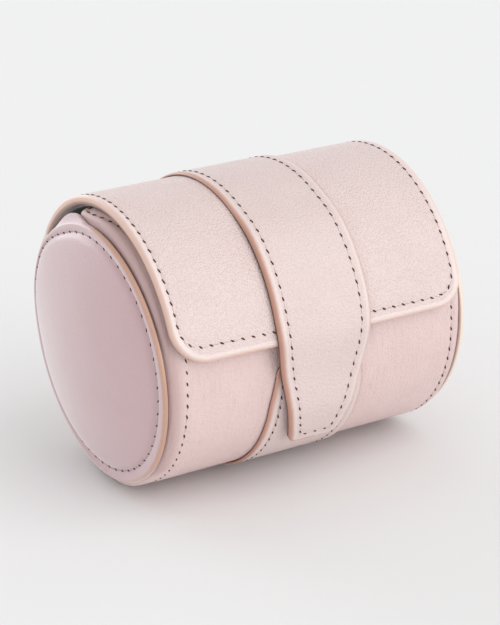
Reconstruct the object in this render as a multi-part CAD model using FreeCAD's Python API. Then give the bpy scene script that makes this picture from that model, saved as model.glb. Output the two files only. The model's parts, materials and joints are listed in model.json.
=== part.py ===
import FreeCAD, Part
import math
import os

from FreeCAD import Vector

# Sewn sheet: leather outside, stiff board between, suede lining inside
wall_radius = 40.0
leather_thick = 1.2
board_thick = 1.2
lining_thick = 0.8

# Angles about the roll's long axis are in degrees: 0 faces front, 90 up, 180 back and 270 down
front_fold_angle = 315.0
inner_end_angle = 107.0
full_turn = 360.0

# End discs: two sewn layers at the rim with a padded dome inside the ring of stitches
disc_setback = 0.8
disc_raise = 0.8
disc_inner_face = 49.6
disc_margin = 3.7
disc_dome = 3.8

# Front panel, which wraps up and over the cushion and swings between the discs
front_clearance = 0.5
front_corner = 6.0

# Outer flap: the sheet rises off the round body at the back, folds there, and runs down the front
flap_half_length = 48.6
flap_gap = 0.7
flap_centre_back = 0.7
flap_centre_up = 2.7
flap_edge_angle = 8.3
flap_corner = 10.0
shoulder_rise = 3.1
shoulder_meet_angle = 69.0
back_fold_angle = 145.0

# Strap round the middle, one layer where it is sewn down and two in its free tongue
strap_width = 31.2
strap_layer_thick = 1.0
keeper_end_angle = 4.0

# Tongue: the strap's free tapered end over the front
tongue_gap = 0.2
tongue_fold_angle = 63.0
tongue_taper_angle = 22.0
tongue_tip_angle = -38.0
tongue_tip_width = 15.2
tongue_tip_corner = 2.4
upright_slant_share = 0.25
taper_bend_along_share = 0.45
taper_bend_width_share = 0.7
taper_middle_along_share = 0.23
taper_middle_width_share = 0.915

# Hidden closure: a round magnet in the tongue above a thin steel plate in the front panel
magnet_diameter = 8.0
magnet_thick = 1.0
magnet_angle = -24.0
plate_length = 14.0
plate_width = 16.0
pocket_clearance = 0.1

# Watch cushion: foam in a suede sleeve with a round suede piece sewn into each end
cushion_length = 92.0
cushion_diameter = 54.0
cushion_seat_gap = 0.3
suede_thick = 0.8
crown_along_shares = (-1.0, -0.9, -0.6, 0.0, 0.6, 0.9, 1.0)
crown_radius_shares = (0.88, 0.955, 0.99, 1.0, 0.99, 0.955, 0.88)

# Flat patch worn under the strap, which the roll stands on
rest_flat_depth = 0.5

# How far a cutting shape runs past what it cuts, and how near two points count as one
overrun = 3.0
same_place = 0.001

# Sizes that follow from those above
sheet_thick = leather_thick + board_thick + lining_thick
lining_face = wall_radius - sheet_thick
strap_radius = wall_radius + strap_layer_thick
strap_half_width = strap_width / 2
front_half_length = disc_inner_face - front_clearance
axis = Vector(0, 0, strap_radius - rest_flat_depth)
along = Vector(1, 0, 0)
forward = Vector(0, -1, 0)
up = Vector(0, 0, 1)


def spot(centre, radius, angle):
    turn = math.radians(angle)
    return centre + forward * (radius * math.cos(turn)) + up * (radius * math.sin(turn))


def angle_of(offset):
    return math.degrees(math.atan2(offset.z, -offset.y))


def line(start, end):
    return Part.LineSegment(start, end).toShape()


def arc(centre, radius, start, end):
    middle = (start + end) / 2
    ends = spot(centre, radius, start), spot(centre, radius, end)
    return Part.Arc(ends[0], spot(centre, radius, middle), ends[1]).toShape()


def face_of(edges):
    return Part.Face(Part.Wire(Part.__sortEdges__(edges)))


def across(edges, half_length):
    """An outline on the roll's middle plane, pulled out to both ends."""
    face = face_of(edges)
    face.translate(along * -half_length)
    return face.extrude(along * (half_length + half_length))


def chain(stretches, depth):
    """Arcs and the straight runs between them, at a depth below a sheet's outer face."""
    edges = []
    for centre, radius, start, end in stretches:
        first = spot(centre, radius - depth, start)
        if edges and edges[-1].lastVertex(True).Point.distanceToPoint(first) > same_place:
            edges.append(line(edges[-1].lastVertex(True).Point, first))
        edges.append(arc(centre, radius - depth, start, end))
    return edges


def sheet(stretches, depth, thick, half_length):
    """A sheet of one thickness that follows the stretches' arcs."""
    outer = chain(stretches, depth)
    inner = chain(stretches, depth + thick)
    starts = [edges[0].firstVertex(True).Point for edges in (outer, inner)]
    ends = [edges[-1].lastVertex(True).Point for edges in (outer, inner)]
    return across(outer + inner + [line(*starts), line(*ends)], half_length)


def corner_wedge(side, half_length, edge, inward, radius, depth):
    """What a rounded corner takes off a sheet, where edge is a point on the sheet's end."""
    outward = along * side
    corner = edge + outward * half_length
    centre = corner - outward * radius + inward * radius
    diagonal = (outward - inward).normalize()
    foot = centre - inward * radius
    head = centre + outward * radius
    beyond = corner + outward * overrun - inward * overrun
    points = [foot, foot - inward * overrun, beyond, head + outward * overrun, head]
    edges = [line(a, b) for a, b in zip(points, points[1:])]
    edges.append(Part.Arc(head, centre + diagonal * radius, foot).toShape())
    return face_of(edges).extrude(depth)


def layers(thicknesses):
    """Each layer's depth below the outer face, and its thickness."""
    depth = 0
    found = []
    for thick in thicknesses:
        found.append((depth, thick))
        depth += thick
    return found


pieces = {}
sheet_layers = dict(
    zip(("leather", "board", "lining"), layers((leather_thick, board_thick, lining_thick)))
)

# The sheet's run: round the body, straight off its back, over a shoulder and down the front
flap_centre = axis - forward * flap_centre_back + up * flap_centre_up
flap_radius = wall_radius + flap_gap + sheet_thick
shoulder_radius = flap_radius - shoulder_rise
shoulder_centre = spot(flap_centre, shoulder_rise, shoulder_meet_angle)
lean = shoulder_centre - axis
lean_cosine = (wall_radius - shoulder_radius) / lean.Length
take_off_angle = angle_of(lean) + math.degrees(math.acos(lean_cosine))
base_run = [
    (axis, wall_radius, front_fold_angle, take_off_angle),
    (shoulder_centre, shoulder_radius, take_off_angle, back_fold_angle),
]


def flap_run(end):
    """The flap's arcs, from the back fold to an angle at the front."""
    return [
        (shoulder_centre, shoulder_radius, back_fold_angle, shoulder_meet_angle),
        (flap_centre, flap_radius, shoulder_meet_angle, end),
    ]


# Base: the sheet's back and underside, which holds the discs, and the strap round it
for layer, (depth, thick) in sheet_layers.items():
    pieces["base_" + layer] = sheet(base_run, depth, thick, disc_inner_face)
base_strap = sheet(base_run, -strap_layer_thick, strap_layer_thick, strap_half_width)
ground = Part.makeBox(
    strap_width + overrun, strap_radius, overrun, Vector(-strap_half_width - overrun / 2, 0, -overrun)
)
ground.translate(forward * (strap_radius / 2))
pieces["base_strap"] = base_strap.cut(ground)

# End discs: lining, board, foam and a domed leather cover, turned about the long axis
cover_back = disc_inner_face + lining_thick
cover_margin = cover_back + leather_thick
disc_centre = axis + up * disc_raise
disc_radius = wall_radius - disc_setback
pad_radius = disc_radius - disc_margin
dome_radius = (pad_radius**2 + disc_dome**2) / (disc_dome + disc_dome)
dome_half_angle = math.asin(pad_radius / dome_radius) / 2
disc_board_radius = pad_radius * math.sqrt(1 - board_thick / disc_dome) - pocket_clearance


def disc_point(outward, radius):
    return disc_centre + along * outward + up * radius


def dome_arc(foot):
    apex = foot + disc_dome
    centre = apex - dome_radius
    middle = disc_point(
        centre + dome_radius * math.cos(dome_half_angle), dome_radius * math.sin(dome_half_angle)
    )
    return Part.Arc(disc_point(foot, pad_radius), middle, disc_point(apex, 0)).toShape()


def turned(edges):
    return face_of(edges).revolve(disc_centre, along, full_turn)


cover_edges = [
    line(disc_point(cover_back, pad_radius), disc_point(cover_back, disc_radius)),
    line(disc_point(cover_back, disc_radius), disc_point(cover_margin, disc_radius)),
    line(disc_point(cover_margin, disc_radius), disc_point(cover_margin, pad_radius)),
    dome_arc(cover_margin),
    line(disc_point(cover_margin + disc_dome, 0), disc_point(cover_back + disc_dome, 0)),
    dome_arc(cover_back),
]
lens_edges = [
    dome_arc(cover_back),
    line(disc_point(cover_back + disc_dome, 0), disc_point(cover_back, 0)),
    line(disc_point(cover_back, 0), disc_point(cover_back, pad_radius)),
]
disc_board = Part.makeCylinder(disc_board_radius, board_thick, disc_point(cover_back, 0), along)
disc_pieces = {
    "cover": turned(cover_edges),
    "padding": turned(lens_edges).cut(disc_board),
    "board": disc_board,
    "lining": Part.makeCylinder(disc_radius, lining_thick, disc_point(disc_inner_face, 0), along),
}
for layer, shape in disc_pieces.items():
    pieces["right_disc_" + layer] = shape
    pieces["left_disc_" + layer] = shape.mirror(axis, along)

# Front panel: the same sheet, from the fold under the front over the cushion, round-cornered
front_start = front_fold_angle - full_turn
front_end = spot(axis, wall_radius, inner_end_angle)
front_end.z = axis.z
front_wedges = [
    corner_wedge(side, front_half_length, front_end, forward, front_corner, up * (wall_radius + overrun))
    for side in (-1, 1)
]
front_run = [(axis, wall_radius, front_start, inner_end_angle)]
keeper_run = [(axis, wall_radius, front_start, keeper_end_angle)]
for layer, (depth, thick) in sheet_layers.items():
    pieces["front_" + layer] = sheet(front_run, depth, thick, front_half_length).cut(front_wedges)
pieces["keeper_strap"] = sheet(keeper_run, -strap_layer_thick, strap_layer_thick, strap_half_width)

# Outer flap: the same sheet with rounded corners, and the strap sewn to it
flap_edge = spot(flap_centre, flap_radius, flap_edge_angle)
flap_edge.y = axis.y
flap_wedges = [
    corner_wedge(side, flap_half_length, flap_edge, up, flap_corner, forward * (flap_radius + overrun))
    for side in (-1, 1)
]
for layer, (depth, thick) in sheet_layers.items():
    whole = sheet(flap_run(flap_edge_angle), depth, thick, flap_half_length)
    pieces["flap_" + layer] = whole.cut(flap_wedges)
pieces["flap_strap"] = sheet(
    flap_run(tongue_fold_angle), -strap_layer_thick, strap_layer_thick, strap_half_width
)

# Tongue: two layers on the flap's front curve, narrowed to a blunt tip
tongue_layers = dict(zip(("face", "backing"), layers((strap_layer_thick, strap_layer_thick))))
tongue_inner_radius = flap_radius + tongue_gap
magnet_radius = tongue_inner_radius + strap_layer_thick
tongue_radius = magnet_radius + strap_layer_thick
taper_middle_angle = (tongue_taper_angle + tongue_tip_angle) / 2
taper_normal = spot(Vector(), 1, taper_middle_angle)
taper_run = spot(Vector(), 1, taper_middle_angle - full_turn / 4)
tip_half_width = tongue_tip_width / 2


def taper_point(angle, width, side):
    """A point of the tongue's outline, seen square to the middle of its taper."""
    reach = tongue_radius * math.sin(math.radians(taper_middle_angle - angle))
    return flap_centre + taper_run * reach + along * (side * width)


def taper_edges(side):
    def share_point(along_share, width_share):
        angle = tongue_taper_angle + (tongue_tip_angle - tongue_taper_angle) * along_share
        width = tip_half_width + (strap_half_width - tip_half_width) * width_share
        return taper_point(angle, width, side)

    top = taper_point(tongue_fold_angle, strap_half_width, side) - taper_run * overrun
    start = taper_point(tongue_taper_angle, strap_half_width, side)
    middle = share_point(taper_middle_along_share, taper_middle_width_share)
    bend = share_point(taper_bend_along_share, taper_bend_width_share)
    tip = taper_point(tongue_tip_angle, tip_half_width, side)
    foot = tip + (tip - bend).normalize() * overrun
    return top, foot, [line(top, start), Part.Arc(start, middle, bend).toShape(), line(bend, foot)]


left_top, left_foot, left_edges = taper_edges(-1)
right_top, right_foot, right_edges = taper_edges(1)
closing_edges = [line(left_top, right_top), line(left_foot, right_foot)]
tongue_outline = face_of(left_edges + right_edges + closing_edges)
tongue_outline = tongue_outline.extrude(taper_normal * (tongue_radius + overrun))
tip_plane = spot(Vector(), 1, tongue_tip_angle - full_turn / 4)


def rounded_tip(shape):
    """The two short upright edges at the tongue's tip, rounded."""
    tip_distance = [
        max(abs(tip_plane.dot(v.Point - flap_centre)) for v in e.Vertexes) for e in shape.Edges
    ]
    upright = [
        e
        for e, away in zip(shape.Edges, tip_distance)
        if away < pocket_clearance and abs(e.tangentAt(e.FirstParameter).x) < upright_slant_share
    ]
    return shape.makeFillet(tongue_tip_corner, upright)


magnet_out = spot(Vector(), 1, magnet_angle)
magnet_centre = spot(flap_centre, magnet_radius, magnet_angle)


def magnet_disc(clearance):
    thick = magnet_thick + clearance + clearance
    foot = magnet_centre - magnet_out * (thick / 2)
    return Part.makeCylinder(magnet_diameter / 2 + clearance, thick, foot, magnet_out)


tongue_run = [(flap_centre, tongue_radius, tongue_fold_angle, tongue_tip_angle)]
for layer, (depth, thick) in tongue_layers.items():
    whole = sheet(tongue_run, depth, thick, strap_width)
    tapered = rounded_tip(whole.common(tongue_outline))
    pieces["tongue_" + layer] = tapered.cut(magnet_disc(pocket_clearance))
pieces["tongue_magnet"] = magnet_disc(0)

# Steel plate in a window of the front board, in line with the magnet
board_radius = wall_radius - leather_thick
plate_angle = angle_of(magnet_centre - axis)


def plate_sheet(clearance):
    half_turn = math.degrees((plate_length / 2 + clearance) / board_radius)
    plate_run = [(axis, board_radius, plate_angle - half_turn, plate_angle + half_turn)]
    return sheet(plate_run, 0, board_thick, plate_width / 2 + clearance)


pieces["front_board"] = pieces["front_board"].cut(plate_sheet(pocket_clearance))
pieces["keeper_plate"] = plate_sheet(0)

# Cushion: round, crowned along its length and drawn in at its ends, lying on the lining
cushion_radius = cushion_diameter / 2
cushion_half_length = cushion_length / 2
cushion_axis = axis - up * (lining_face - cushion_seat_gap - cushion_radius)


def ring(outward, radius):
    """A circle of quarter arcs about the cushion's axis."""
    centre = cushion_axis + along * outward
    starts = [full_turn * quarter / 4 for quarter in range(4)]
    return Part.Wire([arc(centre, radius, start, start + full_turn / 4) for start in starts])


def crowned(inset, half_length):
    rings = [
        ring(half_length * place, cushion_radius * share - inset)
        for place, share in zip(crown_along_shares, crown_radius_shares)
    ]
    return Part.makeLoft(rings, True)


pieces["cushion_sleeve"] = crowned(0, cushion_half_length).cut(
    crowned(suede_thick, cushion_half_length)
)
end_radius = cushion_radius * crown_radius_shares[0] - suede_thick - pocket_clearance
end_inner_face = cushion_half_length - suede_thick
end_disc = Part.makeCylinder(end_radius, suede_thick, cushion_axis + along * end_inner_face, along)
pieces["cushion_end_right"] = end_disc
pieces["cushion_end_left"] = end_disc.mirror(axis, along)
pieces["cushion_foam"] = crowned(suede_thick + pocket_clearance, end_inner_face)

os.makedirs("parts", exist_ok=True)
for name, shape in pieces.items():
    solids = shape.Solids
    part = solids[0] if len(solids) == 1 else Part.makeCompound(solids)
    part.exportStep("parts/" + name + ".step")
    print(name, "solids", len(solids), "valid", part.isValid(), "volume", round(part.Volume, 1))

# Joint axes and the watch space, in the part's own frame
fold_radius = shoulder_radius + strap_layer_thick
print("back fold axis", spot(shoulder_centre, fold_radius, back_fold_angle))
print("front fold axis", spot(axis, strap_radius, front_fold_angle))
print("tongue fold axis", spot(flap_centre, tongue_radius, tongue_fold_angle))
print("cushion axis", cushion_axis, "top of cushion", cushion_axis.z + cushion_radius)
print("roll axis", axis, "lining radius", lining_face)
print("the sheet leaves the round body at", take_off_angle)
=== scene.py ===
import json
import math

import bmesh
import bpy
from mathutils import Matrix, Vector, noise


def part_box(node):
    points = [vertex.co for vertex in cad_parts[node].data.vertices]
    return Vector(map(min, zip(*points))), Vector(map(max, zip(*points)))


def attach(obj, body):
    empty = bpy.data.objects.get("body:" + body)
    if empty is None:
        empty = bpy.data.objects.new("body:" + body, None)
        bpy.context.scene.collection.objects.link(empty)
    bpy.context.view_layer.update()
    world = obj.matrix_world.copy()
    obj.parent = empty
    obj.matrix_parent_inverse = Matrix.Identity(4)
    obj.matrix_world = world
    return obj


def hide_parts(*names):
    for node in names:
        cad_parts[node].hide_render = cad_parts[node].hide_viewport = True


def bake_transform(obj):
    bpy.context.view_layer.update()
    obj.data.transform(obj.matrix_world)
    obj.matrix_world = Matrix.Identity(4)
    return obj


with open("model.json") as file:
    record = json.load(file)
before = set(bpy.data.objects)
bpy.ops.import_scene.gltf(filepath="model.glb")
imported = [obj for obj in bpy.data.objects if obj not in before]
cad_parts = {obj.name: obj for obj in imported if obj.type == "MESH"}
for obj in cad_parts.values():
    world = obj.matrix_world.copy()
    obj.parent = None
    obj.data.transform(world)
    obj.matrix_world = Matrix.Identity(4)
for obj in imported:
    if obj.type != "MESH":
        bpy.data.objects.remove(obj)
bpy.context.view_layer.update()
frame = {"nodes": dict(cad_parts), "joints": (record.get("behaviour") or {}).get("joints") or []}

# Outer wrap: one sheet of blush leather glued over stiff board, from the flap's free edge over the
# top, down the back and under the roll to a butt seam. Its cut edges are rounded and painted tan,
# a seam runs just inside them, and the fold behind the top is its hinge.
mm = 0.001
front_low, front_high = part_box("front_leather")
wall_radius = -front_low.y
roll_axis = Vector((0, 0, front_high.z - wall_radius))
joint_spots = {joint["name"]: Vector(joint["pos_m"]) for joint in frame["joints"]}
sheet_thick = 3.0 * mm
lining_thick = 0.3 * mm
flap_gap = 0.6 * mm
flap_radius = wall_radius + flap_gap + sheet_thick + lining_thick
flap_shift = Vector((0, 0.7, 2.7)) * mm
flap_centre = roll_axis + flap_shift
flap_edge_angle = 8.3
shoulder_rise = 3.1 * mm
shoulder_angle = 69.0
back_fold_angle = 145.0
bottom_seam_angle = 280.0


def ray(angle):
    """The way out from the roll's axis: 0 is the front, 90 the top, 180 the back."""
    turn = math.radians(angle)
    return Vector((0, -math.cos(turn), math.sin(turn)))


def arc(centre, radius, first, last):
    """A round stretch of a sheet's outer face: its length, and how to find a spot and its way out."""
    length = radius * math.radians(abs(last - first))

    def find(way):
        out = ray(first + (last - first) * way / length)
        return centre + out * radius, out

    return length, find


def straight(start, end):
    """A flat stretch between two arcs."""
    along = (end - start).normalized()
    out = Vector((0, -along.z, along.y))
    return (end - start).length, lambda way: (start + along * way, out)


def follow(run, way):
    """The spot on a sheet's outer face at a distance along its run, and the way out there."""
    for length, find in run[:-1]:
        if way <= length:
            return find(way)
        way -= length
    return run[-1][1](way)


def run_length(run):
    return sum(length for length, find in run)


shoulder_radius = flap_radius - shoulder_rise
shoulder_centre = flap_centre + ray(shoulder_angle) * shoulder_rise
lean = shoulder_centre - roll_axis
lean_angle = math.degrees(math.atan2(lean.z, -lean.y))
take_off = lean_angle + math.degrees(math.acos((wall_radius - shoulder_radius) / lean.length))
wrap_run = [
    arc(flap_centre, flap_radius, flap_edge_angle, shoulder_angle),
    arc(shoulder_centre, shoulder_radius, shoulder_angle, take_off),
    straight(shoulder_centre + ray(take_off) * shoulder_radius, roll_axis + ray(take_off) * wall_radius),
    arc(roll_axis, wall_radius, take_off, bottom_seam_angle),
]
wrap_length = run_length(wrap_run)
wrap_fold = wrap_run[0][0] + shoulder_radius * math.radians(back_fold_angle - shoulder_angle)


def ease(start, end, value):
    """0 before start, 1 after end, smooth between them."""
    share = min(max((value - start) / (end - start), 0), 1)
    return share * share * (3 - 2 * share)


def inside(x, way, left, right, start, corner):
    """How far a flat spot lies inside an outline with straight sides and one rounded end."""
    gap = (left if x < 0 else right) - abs(x)
    rise = way - start
    if gap < corner and rise < corner:
        return corner - math.hypot(corner - gap, corner - rise)
    return min(gap, rise)


def steps(start, end, pace):
    """Even steps from start to end, both included."""
    count = max(1, round(abs(end - start) / pace))
    return [start + (end - start) * i / count for i in range(count + 1)]


# Distances from a cut edge at which a sheet's mesh has a line, so that its rounding and seam show
edge_steps = (0, 0.06, 0.18, 0.35, 0.6, 0.9, 1.2, 1.55, 1.9, 2.2, 2.5, 2.8, 3.1, 3.5, 4.0, 4.7, 5.6)
edge_lines = [step * mm for step in edge_steps]
corner_turns = range(0, 91, 6)
plan_per_metre = 10
merge_gap = 0.002 * mm
sliver = 0.001 * mm
sharp_corner = math.radians(50)


def sheet_columns(half_width, pace):
    """Places across a sheet, close together near its sides."""
    inner = steps(half_width - edge_lines[-1], 0, pace)[1:]
    half = [half_width - d for d in edge_lines] + inner
    return [-x for x in half[:-1]] + half[::-1]


def sheet_rows(length, corner, pace):
    """Places along a sheet, close together near its rounded end."""
    rounded = [corner * (1 - math.cos(math.radians(turn))) for turn in corner_turns]
    return rounded + steps(corner, length, pace)[1:]


def cut_sheet(
    name, columns, rows, sides, corner, lay, thick, rounding,
    painted=None, flat_start=False, under_share=1.0,
):
    """A closed sheet with rounded edges. sides() gives its left and right half widths at a row, and
    lay() the spot on its outer face and the way out there. It holds its flat plan as a UV map, and
    each point's distance from the painted edge, which is the cut edge unless painted() differs. Its
    far end is cut flat, and so is its near end if flat_start is set. under_share says how much of
    the rounding the under edge has."""
    bm = bmesh.new()
    rim = bm.verts.layers.float.new("rim")
    below = bm.verts.layers.float.new("below")
    plan = bm.loops.layers.uv.new("plan")
    widest = columns[-1]
    rows = rows[:flat_start] + rows + rows[-1:]
    start = -2 * edge_lines[-1] if flat_start else 0
    for under in (False, True):
        grid = bmesh.ops.create_grid(bm, x_segments=len(columns) - 1, y_segments=len(rows) - 1, size=1)
        flat = {}
        for point in grid["verts"]:
            column = round((point.co.x + 1) / 2 * (len(columns) - 1))
            row = round((point.co.y + 1) / 2 * (len(rows) - 1))
            way = rows[row]
            left, right = sides(way)
            x = columns[column] / widest
            bite = {}
            for side in (-1, 1):
                radius = corner(side)
                bite[side] = radius - math.sqrt(max(0, radius**2 - max(0, radius - way) ** 2))
            x *= (left - bite[-1]) if x < 0 else (right - bite[1])
            depth_in = inside(x, way, left, right, start, corner(-1 if x < 0 else 1))
            near = max(0, rounding - max(0, depth_in))
            drop = rounding - math.sqrt(rounding**2 - near**2)
            here_thick = thick(way)
            drop *= min(1, here_thick / 2 / rounding) * (under_share if under else 1)
            at_end = row == len(rows) - 1 or (flat_start and row == 0)
            if at_end or depth_in < edge_lines[1] / 2:
                drop = here_thick / 2
            spot, out = lay(x, way, depth_in)
            point.co = spot - out * ((here_thick - drop) if under else drop)
            point[rim] = painted(x, way, depth_in) if painted else depth_in
            point[below] = 1 - drop / here_thick if under else drop / here_thick
            flat[point] = (x, way)
        for face in {face for point in flat for face in point.link_faces}:
            for loop in face.loops:
                loop[plan].uv = [value * plan_per_metre for value in flat[loop.vert]]
    bmesh.ops.remove_doubles(bm, verts=bm.verts, dist=merge_gap)
    bmesh.ops.dissolve_degenerate(bm, dist=sliver, edges=bm.edges)
    bmesh.ops.recalc_face_normals(bm, faces=bm.faces)
    return finished(name, bm)


def finished(name, bm):
    """The object of a bmesh, shaded smooth except at sharp corners."""
    for face in bm.faces:
        face.smooth = True
    mesh = bpy.data.meshes.new(name)
    bm.to_mesh(mesh)
    bm.free()
    mesh.set_sharp_from_angle(angle=sharp_corner)
    piece = bpy.data.objects.new(name, mesh)
    bpy.context.scene.collection.objects.link(piece)
    return piece


def add_node(tree, kind, inputs=None, **settings):
    """A shader node with its settings, and with values or links on its inputs."""
    node = tree.nodes.new(kind)
    for key, value in settings.items():
        setattr(node, key, value)
    for key, value in (inputs or {}).items():
        if isinstance(value, bpy.types.NodeSocket):
            tree.links.new(value, node.inputs[key])
        else:
            node.inputs[key].default_value = value
    return node


def math_of(tree, kind, *values):
    """A Math node's result."""
    return add_node(tree, "ShaderNodeMath", dict(enumerate(values)), operation=kind).outputs[0]


def noise_of(tree, spot, per_metre, detail):
    """A noise texture's value."""
    inputs = {"Vector": spot, "Scale": per_metre, "Detail": detail}
    return add_node(tree, "ShaderNodeTexNoise", inputs).outputs["Fac"]


def between(tree, value, low, high):
    """0 where a value is under low and 1 where it is over high, smooth between."""
    inputs = {"Value": value, "From Min": low, "From Max": high}
    return add_node(tree, "ShaderNodeMapRange", inputs, interpolation_type="SMOOTHSTEP").outputs["Result"]


def mixed(tree, share, first, second):
    """A colour mixed from two by a share."""
    inputs = {0: share, 6: first, 7: second}
    return add_node(tree, "ShaderNodeMix", inputs, data_type="RGBA").outputs[2]


def new_group(name, inputs, outputs):
    """An empty node group that takes a place and values and gives values, and its two inner ends."""
    group = bpy.data.node_groups.new(name, "ShaderNodeTree")
    group.interface.new_socket("Vector", in_out="INPUT", socket_type="NodeSocketVector")
    for direction, sockets in (("INPUT", inputs), ("OUTPUT", outputs)):
        for socket in sockets:
            group.interface.new_socket(socket, in_out=direction, socket_type="NodeSocketFloat")
    entry = group.nodes.new("NodeGroupInput").outputs
    leave = group.nodes.new("NodeGroupOutput").inputs
    return group, entry, leave


warps_per_metre = 1400.0
warp_reach = 0.4 * mm
pores_per_metre = 5000.0
pore_height = 0.3
valley_range = (0.3, 0.65)
blotches_per_metre = 70.0
ragged_per_metre = 700.0
ragged_reach = 0.4 * mm
strip_fade = 0.8 * mm


def grain_group():
    """Fine pebbled leather: a height with pores, and slow blotches from the tanning."""
    group, entry, leave = new_group(
        "leather_grain", ["Pebbles per metre"], ["Height", "Valleys", "Blotches"]
    )
    spot = entry["Vector"]
    warp = add_node(group, "ShaderNodeTexNoise", {"Vector": spot, "Scale": warps_per_metre, "Detail": 2.0})
    push = {0: warp.outputs["Color"], 1: (warp_reach, warp_reach, warp_reach)}
    pushed = add_node(group, "ShaderNodeVectorMath", push, operation="MULTIPLY").outputs[0]
    moved = add_node(group, "ShaderNodeVectorMath", {0: spot, 1: pushed}, operation="ADD").outputs[0]
    cell_inputs = {"Vector": moved, "Scale": entry["Pebbles per metre"], "Smoothness": 0.3}
    cells = add_node(group, "ShaderNodeTexVoronoi", cell_inputs, feature="SMOOTH_F1").outputs["Distance"]
    pores = math_of(group, "MULTIPLY", noise_of(group, spot, pores_per_metre, 2.0), pore_height)
    height = math_of(group, "ADD", math_of(group, "SUBTRACT", 1.0, cells), pores)
    group.links.new(height, leave["Height"])
    group.links.new(between(group, cells, *valley_range), leave["Valleys"])
    group.links.new(noise_of(group, spot, blotches_per_metre, 3.0), leave["Blotches"])
    return group


def edge_group():
    """Masks that follow a sheet's cut edge: the painted edge and the pressed strip beside it."""
    group, entry, leave = new_group(
        "painted_edge", ["Paint width", "Fade width", "Strip width"], ["Paint", "Strip"]
    )
    away = add_node(group, "ShaderNodeAttribute", attribute_name="rim").outputs["Fac"]
    ragged = noise_of(group, entry["Vector"], ragged_per_metre, 2.0)
    shift = math_of(group, "MULTIPLY", math_of(group, "SUBTRACT", ragged, 0.5), ragged_reach)
    ragged_away = math_of(group, "ADD", away, shift)
    paint_end = math_of(group, "ADD", entry["Paint width"], entry["Fade width"])
    strip_end = math_of(group, "ADD", entry["Strip width"], strip_fade)
    paint = math_of(group, "SUBTRACT", 1.0, between(group, ragged_away, entry["Paint width"], paint_end))
    strip = math_of(group, "SUBTRACT", 1.0, between(group, ragged_away, entry["Strip width"], strip_end))
    group.links.new(paint, leave["Paint"])
    group.links.new(strip, leave["Strip"])
    return group


grain_nodes = grain_group()
edge_nodes = edge_group()
blush = (0.748, 0.608, 0.584, 1)
flap_edge_tan = (0.71, 0.48, 0.395, 1)
# Painted shade: dark brown for the undersides of painted edges, where they meet the surface below
under_edge_shade_brown = (0.1, 0.035, 0.022, 1)
pebble_depth = 0.32 * mm
pebbles_per_metre = 1700.0
pressed_strip = 2.0 * mm
crease_stretch = (90.0, 9.0, 1.0)
# Darker tint for the leather's random blotches, and for the painted shade in its grain valleys and creases
blotch_and_shade_tint = (0.84, 0.74, 0.74)
# The pressed strip beside a painted edge is paler, partly from the pressing and partly as painted
# highlight
pressed_highlight_tint = (1.06, 1.1, 1.09)
blotch_range = (0.35, 0.7)
blotch_share = 0.14
valley_shade_share = 0.2
# Painted shade along the creases: where it starts and how strong it is
crease_range = (0.5, 0.72)
crease_shade_share = 0.16
crease_height = 0.6
pressed_highlight_share = 0.5
pressed_smooth = 0.75
under_shade_range = (0.48, 0.68)
painted_roughness = 0.42
bare_gain = -0.05


def new_material(name):
    """A material, its node tree and its surface."""
    material = bpy.data.materials.new(name)
    material.use_nodes = True
    return material, material.node_tree, material.node_tree.nodes["Principled BSDF"]


def tinted(tone, tint):
    """A colour with each of its parts taken up or down."""
    return [value * share for value, share in zip(tone, tint)] + [1]


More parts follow.
